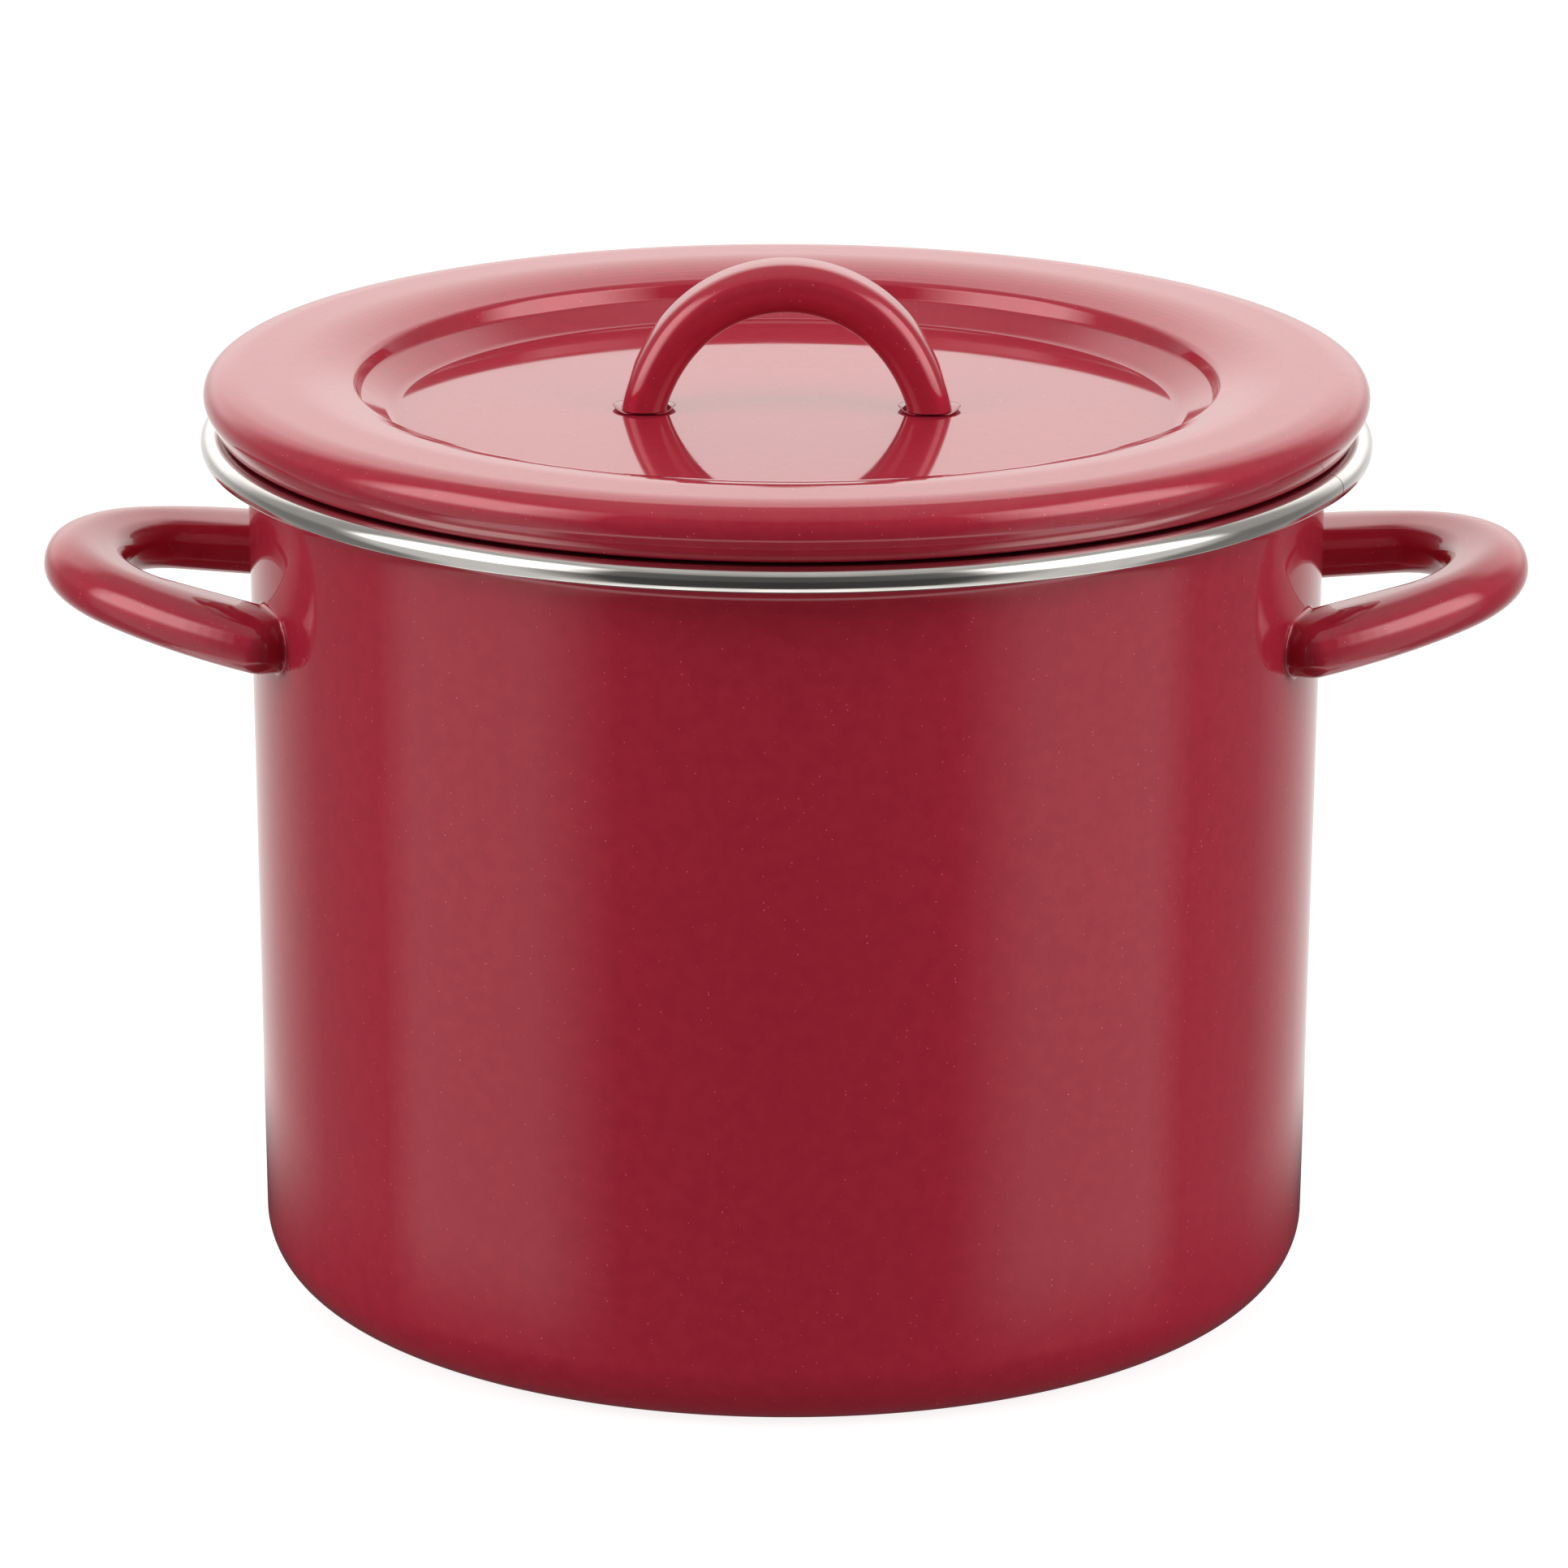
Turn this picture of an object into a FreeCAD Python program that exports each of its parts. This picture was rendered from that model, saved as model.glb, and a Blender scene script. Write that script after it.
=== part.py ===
import FreeCAD, Part
import math
import os
import re
import Sketcher

# Enamelled steel stock pot with a lid. Millimetres, +Z up. The origin is on the floor, on the
# pot's axis. The two side handles lie along X, and the lid's bow handle stands in the X-Z plane.

Vector = FreeCAD.Vector
X_AXIS = Vector(1, 0, 0)
Y_AXIS = Vector(0, 1, 0)
Z_AXIS = Vector(0, 0, 1)
SMALL = 1e-4    # two places closer than this are the same

# alias, value, what it is. Heights are above the floor unless they say otherwise.
DIMENSIONS = [
    ("steel_gauge", 1.05, "pot and lid sheet: steel with its outside enamel"),
    ("lining_gauge", 0.25, "dark enamel coat on the inside"),
    ("band_base", 210.4, "height of the rim band's lower edge"),
    # pot wall: its inner face, from the middle of the base to the flange
    ("base_lift", 1.5, "how far the middle of the base stands off the floor"),
    ("base_step_inner", 84.0, "radius where the raised middle of the base ends"),
    ("base_step_outer", 92.0, "radius where the flat contact ring begins"),
    ("base_step_round", 6.0, "rounding of the step in the base"),
    ("wall_foot_radius", 129.05, "inner radius of the wall, extended to the floor"),
    ("wall_mouth_radius", 131.3, "inner radius of the wall at the mouth"),
    ("base_corner_round", 14.85, "inner rounding from base to wall"),
    ("flare_round", 8.05, "inner rounding from wall to flange"),
    ("flange_radius", 141.8, "edge of the flange inside the rim band"),
    ("flange_rise", 1.55, "flange's upper steel face above the band's lower edge"),
    # rim band: its outer face, from the inner end over the top to the lower return
    ("band_gauge", 0.5, "stainless sheet of the rim band"),
    ("band_top", 5.9, "top of the band above its lower edge"),
    ("band_foot_radius", 135.6, "inner end of the band, where it meets the flare"),
    ("band_foot_rise", 1.2, "height of that end above the band's lower edge"),
    ("band_inner_radius", 135.3, "inner side of the band at its top"),
    ("band_inner_round", 1.5, "rounding of the band's inner top edge"),
    ("band_outer_radius", 145.15, "corner of the band's top and face, before rounding"),
    ("band_outer_round", 3.45, "rounding of the band's outer top edge"),
    ("band_lower_radius", 142.95, "lower corner of the band's face"),
    ("band_lower_round", 0.9, "rounding of that corner"),
    ("band_return_radius", 138.6, "end of the lower return under the flange"),
    ("seam_angle", 0.12, "angle left open at the band's butt seam"),
    ("seam_turn", -22.0, "direction of the seam, from +X"),
    # side handles, in their own plane, which rises outwards
    ("handle_tilt", 9.76, "rise of the handle's plane outwards"),
    ("handle_plane", 150.56, "height of that plane at the pot's axis"),
    ("handle_depth", 13.2, "height of the handle's section"),
    ("handle_edge_round", 6.3, "rounding of the section's sides"),
    ("handle_gauge", 1.3, "sheet of the handle with its enamel"),
    ("handle_root", 112.0, "where the legs end before they are cut to the wall"),
    ("grip_outer", 185.5, "outermost point of the loop"),
    ("grip_outer_half", 22.5, "half length of the loop's outer end, corner to corner"),
    ("grip_outer_round", 48.0, "rounding of that corner"),
    ("shoulder_reach", 150.3, "corner between the grip and the leg, outside"),
    ("shoulder_half", 53.7, "half distance between those corners"),
    ("shoulder_round", 100.0, "rounding of that corner"),
    ("root_outer_half", 63.75, "half width over both legs at the root"),
    ("root_inner_half", 38.95, "half width between the legs at the root"),
    ("finger_reach", 155.3, "corner between the finger hole's side and end"),
    ("finger_half", 23.25, "half distance between those corners"),
    ("finger_round", 15.0, "rounding of that corner"),
    ("grip_inner", 165.3, "end of the finger hole"),
    ("grip_inner_half", 11.3, "half length of that end, corner to corner"),
    ("grip_inner_round", 30.5, "rounding of that corner"),
    ("weld_reach", 1.5, "how far the weld bead stands out from leg and wall"),
    # lid: the inner face of its sheet, from the middle out over the rim and down inside
    ("disc_rise", 7.75, "disc above the band's lower edge"),
    ("recess_foot_radius", 97.2, "edge of the flat disc, before rounding"),
    ("recess_foot_round", 7.0, "rounding from disc to slope"),
    ("recess_bend_radius", 105.5, "bend from the slope to the steep wall"),
    ("recess_bend_rise", 12.5, "height of that bend above the band's lower edge"),
    ("recess_bend_round", 2.6, "rounding of that bend"),
    ("recess_lip_radius", 106.75, "lip of the recess"),
    ("recess_lip_rise", 16.4, "height of that lip above the band's lower edge"),
    ("recess_lip_round", 1.0, "rounding of the lip"),
    ("crown_inner_radius", 115.8, "corner of the crown's arch on the recess side"),
    ("crown_inner_round", 58.0, "radius of that arch"),
    ("crown_rise", 18.85, "top of the crown above the band's lower edge"),
    ("crown_outer_radius", 144.4, "corner of the crown and the lid's side"),
    ("crown_outer_round", 4.45, "rounding of that corner"),
    ("lid_lip_radius", 138.6, "lower lip of the lid"),
    ("lid_lip_round", 0.7, "rounding of the lower lip"),
    ("seat_rise", 7.45, "turned-in seat of the lid above the band's lower edge"),
    ("skirt_radius", 128.85, "inner radius of the locating skirt"),
    ("skirt_round", 2.0, "rounding from seat to skirt"),
    ("skirt_drop", 5.5, "lower end of the skirt below the band's lower edge"),
    # lid handle, in the X-Z plane
    ("bow_outer_radius", 39.3, "outer arc of the bow"),
    ("bow_outer_centre", 6.6, "centre of that arc above the band's lower edge"),
    ("bow_inner_radius", 28.5, "inner arc of the bow"),
    ("bow_inner_centre", 5.3, "centre of that arc above the band's lower edge"),
    ("bow_width", 17.0, "width of the bow, front to back"),
    ("bow_edge_round", 5.2, "rounding of the bow's section"),
    ("bow_gauge", 1.2, "sheet of the bow with its enamel"),
    ("foot_gauge", 0.8, "thickness of the weld flange under each foot"),
    ("foot_length", 16.0, "weld flange along X"),
    ("foot_width", 20.0, "weld flange along Y"),
    ("foot_round", 6.5, "corner rounding of the weld flange, seen from above"),
    ("foot_edge_round", 0.35, "rounding of the weld flange's upper edge"),
    ("foot_reach", 33.7, "middle of each foot from the axis"),
]
ALIASES = {alias for alias, _, _ in DIMENSIONS}

# The corners of each outline: first coordinate, second coordinate, rounding. Each is a formula
# in the sheet's words, and None leaves a corner sharp.
POT_LINE = [
    ("0", "base_lift + steel_gauge", None),
    ("base_step_inner", "base_lift + steel_gauge", "base_step_round"),
    ("base_step_outer", "steel_gauge", "base_step_round"),
    ("wall_foot_radius", "steel_gauge", "base_corner_round"),
    ("wall_mouth_radius", "band_base + flange_rise", "flare_round"),
    ("flange_radius", "band_base + flange_rise", None),
]
BAND_LINE = [
    ("band_foot_radius", "band_base + band_foot_rise", None),
    ("band_inner_radius", "band_base + band_top", "band_inner_round"),
    ("band_outer_radius", "band_base + band_top", "band_outer_round"),
    ("band_lower_radius", "band_base", "band_lower_round"),
    ("band_return_radius", "band_base", None),
]
LID_LINE = [
    ("0", "band_base + disc_rise", None),
    ("recess_foot_radius", "band_base + disc_rise", "recess_foot_round"),
    ("recess_bend_radius", "band_base + recess_bend_rise", "recess_bend_round"),
    ("recess_lip_radius", "band_base + recess_lip_rise", "recess_lip_round"),
    ("crown_inner_radius", "band_base + crown_rise", "crown_inner_round"),
    ("crown_outer_radius", "band_base + crown_rise", "crown_outer_round"),
    ("lid_lip_radius", "band_base + seat_rise", "lid_lip_round"),
    ("skirt_radius", "band_base + seat_rise", "skirt_round"),
    ("skirt_radius", "band_base - skirt_drop", None),
]
HANDLE_HALF = [
    ("handle_root", "root_outer_half", None),
    ("shoulder_reach", "shoulder_half", "shoulder_round"),
    ("grip_outer", "grip_outer_half", "grip_outer_round"),
]
FINGER_HALF = [
    ("grip_inner", "grip_inner_half", "grip_inner_round"),
    ("finger_reach", "finger_half", "finger_round"),
    ("handle_root", "root_inner_half", None),
]


def mirrored(corners):
    """The same corners on the other side of the first axis, in reverse order."""
    return [(first, f"-({second})", rounding) for first, second, rounding in reversed(corners)]


HANDLE_OUTLINE = HANDLE_HALF + mirrored(HANDLE_HALF) + mirrored(FINGER_HALF) + FINGER_HALF


def bound(formula):
    """A formula in the sheet's words, as an expression that any object can use."""
    def qualified(word):
        name = word.group()
        return f"Dimensions.{name}" if name in ALIASES else name
    return re.sub(r"[A-Za-z_]\w*", qualified, formula)


def value(owner, formula):
    """What a formula comes to."""
    result = owner.evalExpression(bound(formula))
    return float(getattr(result, "Value", result))


def add_dimensions(doc):
    sheet = doc.addObject("Spreadsheet::Sheet", "Dimensions")
    for row, (alias, size, meaning) in enumerate(DIMENSIONS, start=1):
        sheet.set(f"A{row}", meaning)
        sheet.set(f"B{row}", str(size))
        sheet.setAlias(f"B{row}", alias)
    doc.recompute()
    return sheet


class Corner:
    """One corner of an outline: where its rounding starts and ends, and the arc between."""

    def __init__(self, before, point, after, radius):
        self.point = point
        self.arrive = point
        self.leave = point
        self.radius = radius
        if radius is None:
            return
        back = (before - point).normalize()
        ahead = (after - point).normalize()
        half = back.getAngle(ahead) / 2
        self.arrive = point + back * (radius / math.tan(half))
        self.leave = point + ahead * (radius / math.tan(half))
        self.centre = point + (back + ahead).normalize() * (radius / math.sin(half))
        self.left_turn = ahead.cross(back).z > 0

    def arc(self):
        """The rounding as a sketch arc, which always runs anticlockwise."""
        ends = (self.arrive, self.leave) if self.left_turn else (self.leave, self.arrive)
        start, stop = (math.atan2(*(end - self.centre)[1::-1]) for end in ends)
        return Part.ArcOfCircle(Part.Circle(self.centre, Z_AXIS, self.radius), start, stop)


def bind(sketch, kind, *places_and_size, name, formula):
    """Add one dimension to a sketch, and bind it to the sheet under a name."""
    index = sketch.addConstraint(Sketcher.Constraint(kind, *places_and_size))
    sketch.renameConstraint(index, name)
    sketch.setExpression(f"Constraints.{name}", bound(formula))


def draw_outline(sketch, corners, closed=False):
    """Straight runs between rounded or sharp corners, each corner held by the sheet."""
    places = []
    for first, second, _ in corners:
        places.append(Vector(value(sketch, first), value(sketch, second), 0))
    shapes = []
    for number, (_, _, rounding) in enumerate(corners):
        radius = None if rounding is None else value(sketch, rounding)
        after = places[(number + 1) % len(places)]
        shapes.append(Corner(places[number - 1], places[number], after, radius))

    runs = []
    for number, corner in enumerate(shapes if closed else shapes[:-1]):
        following = shapes[(number + 1) % len(shapes)]
        run = Part.LineSegment(corner.leave, following.arrive)
        runs.append(sketch.addGeometry(run, False))

    for number, (corner, (first, second, rounding)) in enumerate(zip(shapes, corners)):
        before = runs[number - 1] if closed or number > 0 else None
        after = runs[number] if number < len(runs) else None
        if rounding is not None:
            arc = sketch.addGeometry(corner.arc(), False)
            arrive, leave = (1, 2) if corner.left_turn else (2, 1)
            sketch.addConstraint(Sketcher.Constraint("Tangent", before, 2, arc, arrive))
            sketch.addConstraint(Sketcher.Constraint("Tangent", arc, leave, after, 1))
            bind(sketch, "Radius", arc, corner.radius, name=f"round{number}", formula=rounding)
            point = (sketch.addGeometry(Part.Point(corner.point), True), 1)
            sketch.addConstraint(Sketcher.Constraint("PointOnObject", *point, before))
            sketch.addConstraint(Sketcher.Constraint("PointOnObject", *point, after))
        elif after is None:
            point = (before, 2)
        else:
            point = (after, 1)
            if before is not None:
                sketch.addConstraint(Sketcher.Constraint("Coincident", before, 2, after, 1))
        if first == "0":
            sketch.addConstraint(Sketcher.Constraint("PointOnObject", *point, -2))
        else:
            bind(sketch, "DistanceX", -1, 1, *point, corner.point.x,
                 name=f"across{number}", formula=first)
        bind(sketch, "DistanceY", -1, 1, *point, corner.point.y,
             name=f"up{number}", formula=second)


def profile_line(doc, name, corners):
    """An open line in the X-Z plane, the centre of a thin turned piece."""
    sketch = doc.addObject("Sketcher::SketchObject", name)
    sketch.Placement = FreeCAD.Placement(Vector(), FreeCAD.Rotation(X_AXIS, 90))
    draw_outline(sketch, corners)
    return sketch


def turned_sheet(doc, name, line, thickness, angle="360"):
    """A sheet of even thickness on one side of a line, turned about the pot's axis.
    A positive thickness lies to the left of the line as it is drawn."""
    section = doc.addObject("Part::Offset2D", name + "_section")
    section.Source = line
    section.Mode = "Skin"
    section.Fill = True
    section.setExpression("Value", bound(thickness))
    piece = doc.addObject("Part::Revolution", name)
    piece.Source = section
    piece.Axis = Z_AXIS
    piece.Solid = True
    piece.setExpression("Angle", bound(angle))
    return piece


def origin_plane(body, role):
    return next(plane for plane in body.Origin.OriginFeatures if plane.Role == role)


def body_sketch(body, name, role):
    sketch = body.newObject("Sketcher::SketchObject", name)
    sketch.AttachmentSupport = (origin_plane(body, role), [""])
    sketch.MapMode = "FlatFace"
    return sketch


def pad_both_ways(body, name, sketch, length):
    pad = body.newObject("PartDesign::Pad", name)
    pad.Profile = sketch
    pad.SideType = "Symmetric"
    pad.setExpression("Length", bound(length))
    body.Document.recompute()
    return pad


def round_edges(body, name, base, radius, wanted):
    """Round the edges of a feature that the test picks out."""
    edges = []
    for number, edge in enumerate(base.Shape.Edges, start=1):
        if wanted(edge):
            edges.append(f"Edge{number}")
    fillet = body.newObject("PartDesign::Fillet", name)
    fillet.Base = (base, edges)
    fillet.setExpression("Radius", bound(radius))
    body.Document.recompute()
    return fillet


def open_underside(body, name, base, gauge, underside):
    """Take the sheet away over a plate's level lower face."""
    faces = []
    for number, face in enumerate(base.Shape.Faces, start=1):
        if abs(face.BoundBox.ZMax - underside) < SMALL:
            faces.append(f"Face{number}")
    slot = body.newObject("PartDesign::Pocket", name)
    slot.Profile = (base, faces)
    slot.setExpression("Length", bound(gauge))


def grown_solid(doc, name, source, distance):
    """A solid with every face moved outwards, or inwards where the distance is negative."""
    solid = doc.addObject("Part::Offset", name)
    solid.Source = source
    solid.setExpression("Value", bound(distance))
    return solid


def wall_cone(doc, name, grow):
    """The space inside the pot's outer wall, grown by a formula, up to the rim band."""
    cone = doc.addObject("Part::Cone", name)
    outside = f"steel_gauge + {grow}"
    cone.setExpression("Radius1", bound(f"wall_foot_radius + {outside}"))
    cone.setExpression("Radius2", bound(f"wall_mouth_radius + {outside}"))
    cone.setExpression("Height", bound("band_base + flange_rise"))
    return cone


def lies_flat(edge, height):
    """Whether an edge lies in one of the two level faces of a plate of this height."""
    box = edge.BoundBox
    return box.ZLength < SMALL and abs(abs(box.ZMin) - height / 2) < SMALL


def handle_plate(doc, name):
    """The side handle's full outer form as a solid loop."""
    body = doc.addObject("PartDesign::Body", name)
    sketch = body_sketch(body, name + "_outline", "XY_Plane")
    draw_outline(sketch, HANDLE_OUTLINE, closed=True)
    pad = pad_both_ways(body, name + "_pad", sketch, "handle_depth")
    depth = value(pad, "handle_depth")
    root = value(pad, "handle_root")

    def on_loop(edge):
        return lies_flat(edge, depth) and edge.BoundBox.XMax > root + SMALL

    rounded = round_edges(body, name + "_rounded", pad, "handle_edge_round", on_loop)
    body.Placement.Rotation = FreeCAD.Rotation(Y_AXIS, -value(pad, "handle_tilt"))
    body.setExpression("Placement.Base.z", bound("handle_plane"))
    return body, rounded


def boolean(doc, kind, name, base, tool):
    """Part::Cut or Part::Common of two objects."""
    piece = doc.addObject(kind, name)
    piece.Base = base
    piece.Tool = tool
    return piece


def cut(doc, name, base, tool):
    return boolean(doc, "Part::Cut", name, base, tool)


def common(doc, name, base, tool):
    return boolean(doc, "Part::Common", name, base, tool)


def side_handle(doc, side, turn):
    """One pressed loop handle, open underneath and cut to the wall, and its two weld beads."""
    plate, _ = handle_plate(doc, side + "_handle_plate")
    pressing, rounded = handle_plate(doc, side + "_handle_pressing")
    open_underside(pressing, side + "_handle_slot", rounded, "handle_gauge",
                   -value(rounded, "handle_depth") / 2)
    core = grown_solid(doc, side + "_handle_core", plate, "-handle_gauge")
    channel = cut(doc, side + "_handle_channel", pressing, core)
    handle = cut(doc, side + "_handle", channel, wall_cone(doc, side + "_handle_wall", "0"))

    grown = grown_solid(doc, side + "_handle_grown", plate, "weld_reach")
    ring = cut(doc, side + "_weld_ring", wall_cone(doc, side + "_weld_outside", "weld_reach"),
               wall_cone(doc, side + "_weld_inside", "0"))
    collar = common(doc, side + "_weld_collar", grown, ring)
    beads = cut(doc, side + "_weld_beads", collar, plate)

    pieces = [handle]
    for end, low in (("front", "-root_outer_half * 2"), ("rear", "0")):
        half = doc.addObject("Part::Box", f"{side}_{end}_half")
        half.setExpression("Length", bound("grip_outer"))
        half.setExpression("Width", bound("root_outer_half * 2"))
        half.setExpression("Height", bound("band_base"))
        half.setExpression("Placement.Base.y", bound(low))
        pieces.append(common(doc, f"{side}_handle_{end}_weld", beads, half))
    for piece in pieces:
        piece.Placement = FreeCAD.Placement(Vector(), FreeCAD.Rotation(Z_AXIS, turn))
    return pieces


def bow_outline(sketch):
    """Two arcs about the bow's own centres, joined by a level sole at each foot."""
    sole_level = "disc_rise + steel_gauge + foot_gauge"
    level = value(sketch, sole_level)
    arcs = []
    for name in ("bow_outer", "bow_inner"):
        radius = value(sketch, name + "_radius")
        height = value(sketch, name + "_centre")
        above = math.asin((level - height) / radius)
        circle = Part.Circle(Vector(0, height, 0), Z_AXIS, radius)
        arc = sketch.addGeometry(Part.ArcOfCircle(circle, above, math.pi - above), False)
        sketch.addConstraint(Sketcher.Constraint("PointOnObject", arc, 3, -2))
        bind(sketch, "DistanceY", -1, 1, arc, 3, height,
             name=name + "_height", formula=name + "_centre")
        bind(sketch, "Radius", arc, radius, name=name, formula=name + "_radius")
        arcs.append(arc)
    outer, inner = arcs
    bind(sketch, "DistanceY", -1, 1, outer, 1, level, name="sole", formula=sole_level)
    sketch.addConstraint(Sketcher.Constraint("Horizontal", outer, 1, outer, 2))
    for end in (1, 2):
        ends = [sketch.getPoint(arc, end) for arc in arcs]
        sole = sketch.addGeometry(Part.LineSegment(*ends), False)
        sketch.addConstraint(Sketcher.Constraint("Coincident", sole, 1, outer, end))
        sketch.addConstraint(Sketcher.Constraint("Coincident", sole, 2, inner, end))
        sketch.addConstraint(Sketcher.Constraint("Horizontal", sole))


def lid_handle(doc):
    """The pressed bow over the lid's recess, open on its inner side."""
    bow = doc.addObject("PartDesign::Body", "lid_handle_pressing")
    sketch = body_sketch(bow, "lid_handle_outline", "XZ_Plane")
    bow_outline(sketch)
    pad = pad_both_ways(bow, "lid_handle_pad", sketch, "bow_width")
    width = value(pad, "bow_width")

    def along_bow(edge):
        box = edge.BoundBox
        on_side = box.YLength < SMALL and abs(abs(box.YMin) - width / 2) < SMALL
        return on_side and box.ZLength > SMALL

    round_edges(bow, "lid_handle_rounded", pad, "bow_edge_round", along_bow)
    bow.setExpression("Placement.Base.z", bound("band_base"))
    core = grown_solid(doc, "lid_handle_core", bow, "-bow_gauge")
    channel = cut(doc, "lid_handle_channel", bow, core)
    slot = doc.addObject("Part::Cylinder", "lid_handle_slot")
    slot.Placement.Rotation = FreeCAD.Rotation(X_AXIS, 90)
    slot.setExpression("Radius", bound("bow_inner_radius + bow_gauge"))
    slot.setExpression("Height", bound("bow_width - 2 * bow_edge_round"))
    slot.setExpression("Placement.Base.y", bound("bow_width / 2 - bow_edge_round"))
    slot.setExpression("Placement.Base.z", bound("band_base + bow_inner_centre"))
    return cut(doc, "lid_handle", channel, slot)


def lid_handle_foot(doc, side, direction):
    """The flared weld flange between one leg of the bow and the lid's disc."""
    name = f"lid_handle_{side}_foot"
    body = doc.addObject("PartDesign::Body", name)
    sketch = body_sketch(body, name + "_outline", "XY_Plane")
    corners = []
    for along, across in ((-1, -1), (1, -1), (1, 1), (-1, 1)):
        corners.append((f"{along} * foot_length / 2", f"{across} * foot_width / 2", "foot_round"))
    draw_outline(sketch, corners, closed=True)
    pad = body.newObject("PartDesign::Pad", name + "_pad")
    pad.Profile = sketch
    pad.setExpression("Length", bound("foot_gauge"))
    doc.recompute()
    top = value(pad, "foot_gauge")
    round_edges(body, name + "_rounded", pad, "foot_edge_round",
                lambda edge: abs(edge.BoundBox.ZMin - top) < SMALL)
    body.setExpression("Placement.Base.x", bound(f"{direction} * foot_reach"))
    body.setExpression("Placement.Base.z", bound("band_base + disc_rise + steel_gauge"))
    return body


def build(doc):
    """Make every sub-part, each under the name of its node."""
    add_dimensions(doc)
    pot_line = profile_line(doc, "pot_line", POT_LINE)
    band_line = profile_line(doc, "band_line", BAND_LINE)
    lid_line = profile_line(doc, "lid_line", LID_LINE)
    doc.recompute()
    band = turned_sheet(doc, "rim_band", band_line, "-band_gauge", "360 - seam_angle")
    band.setExpression("Placement.Rotation.Angle", bound("seam_turn + seam_angle / 2"))
    pieces = [
        turned_sheet(doc, "pot_shell", pot_line, "-steel_gauge"),
        turned_sheet(doc, "pot_lining", pot_line, "lining_gauge"),
        band,
        turned_sheet(doc, "lid_shell", lid_line, "steel_gauge"),
        turned_sheet(doc, "lid_lining", lid_line, "-lining_gauge"),
        lid_handle(doc),
        lid_handle_foot(doc, "left", -1),
        lid_handle_foot(doc, "right", 1),
    ]
    for side, turn in (("right", 0), ("left", 180)):
        pieces += side_handle(doc, side, turn)
    for piece in pieces:
        piece.Label = piece.Name
    doc.recompute()
    return pieces


def check(doc, pieces):
    """Stop if any object failed, or any sub-part is empty or broken."""
    for item in doc.Objects:
        if {"Invalid", "Error"} & set(item.State):
            raise RuntimeError(f"{item.Name} failed: {item.State}")
    for piece in pieces:
        if piece.Shape.isNull() or not piece.Shape.isValid() or not piece.Shape.Solids:
            raise RuntimeError(f"{piece.Name} has no sound solid")


def main():
    doc = FreeCAD.newDocument("stock_pot")
    pieces = build(doc)
    check(doc, pieces)
    os.makedirs("parts", exist_ok=True)
    for piece in pieces:
        piece.Shape.exportStep(f"parts/{piece.Label}.step")
        box = piece.Shape.BoundBox
        print(f"{piece.Label}: {len(piece.Shape.Solids)} solid, {piece.Shape.Volume:.1f} mm3,"
              f" z {box.ZMin:.2f} to {box.ZMax:.2f}, x {box.XMin:.2f} to {box.XMax:.2f}")


main()
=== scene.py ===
"""The looks of the stock pot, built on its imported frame.

Outlines and the sizes of pieces are in millimetres. The studio and the materials are in metres.
"""

import math

import bmesh
import bpy
from mathutils import Euler, Matrix, Vector

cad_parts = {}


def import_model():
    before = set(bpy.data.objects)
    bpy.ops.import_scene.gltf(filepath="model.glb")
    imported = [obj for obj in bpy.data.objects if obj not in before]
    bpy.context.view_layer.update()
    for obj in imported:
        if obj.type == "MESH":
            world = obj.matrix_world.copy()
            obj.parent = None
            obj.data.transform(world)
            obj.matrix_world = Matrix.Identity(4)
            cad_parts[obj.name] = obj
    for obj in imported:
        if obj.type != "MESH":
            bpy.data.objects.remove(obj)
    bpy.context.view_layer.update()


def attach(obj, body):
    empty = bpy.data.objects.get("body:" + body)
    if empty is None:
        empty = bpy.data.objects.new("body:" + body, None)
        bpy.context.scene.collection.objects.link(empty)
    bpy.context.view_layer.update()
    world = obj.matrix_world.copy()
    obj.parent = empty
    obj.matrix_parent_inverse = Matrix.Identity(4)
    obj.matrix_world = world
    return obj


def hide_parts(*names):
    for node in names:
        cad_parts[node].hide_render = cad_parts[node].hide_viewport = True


MM = 0.001
TURN_STEPS = 360
ARC_STEP = math.radians(2.5)
SHARP = math.radians(38)
# a straight run gets a point this far inside each end, and one half way where it is a long run
GUARD = 0.15
LONG_RUN = 30

# the pot and its lid
RIM = 210.4
STEEL = 1.05
LINING = 0.25
BAND_STEEL = 0.5
FOOT_RADIUS = 129.05
MOUTH_RADIUS = 131.3
FLARE = RIM + 1.55
# Each row is a corner's radius and height, and the rounding of the corner.
POT_LINE = [
    (0, 2.55, None),
    (84.0, 2.55, 6.0),
    (92.0, STEEL, 6.0),
    (FOOT_RADIUS, STEEL, 14.85),
    (MOUTH_RADIUS, FLARE, 8.05),
    (141.8, FLARE, None),
]
BAND_LINE = [
    (135.6, RIM + 1.2, None),
    (135.3, RIM + 5.9, 1.5),
    (145.15, RIM + 5.9, 3.45),
    (142.95, RIM, 0.9),
    (138.6, RIM, None),
]
# the seam's width and place, in degrees
BAND_GAP = 0.12
BAND_SEAM = -22.0
RECESS = RIM + 7.75
LID_LINE = [
    (0, RECESS, None),
    (97.2, RECESS, 7.0),
    (105.5, RIM + 12.5, 2.6),
    (106.75, RIM + 16.4, 1.0),
    (116.5, RIM + 19.1, 52.0),
    (135.5, RIM + 19.1, 22.0),
    (144.0, RIM + 17.2, 4.3),
    (138.6, RIM + 7.45, 0.7),
    (128.85, RIM + 7.45, 2.0),
    (128.85, RIM - 5.5, None),
]

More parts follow.
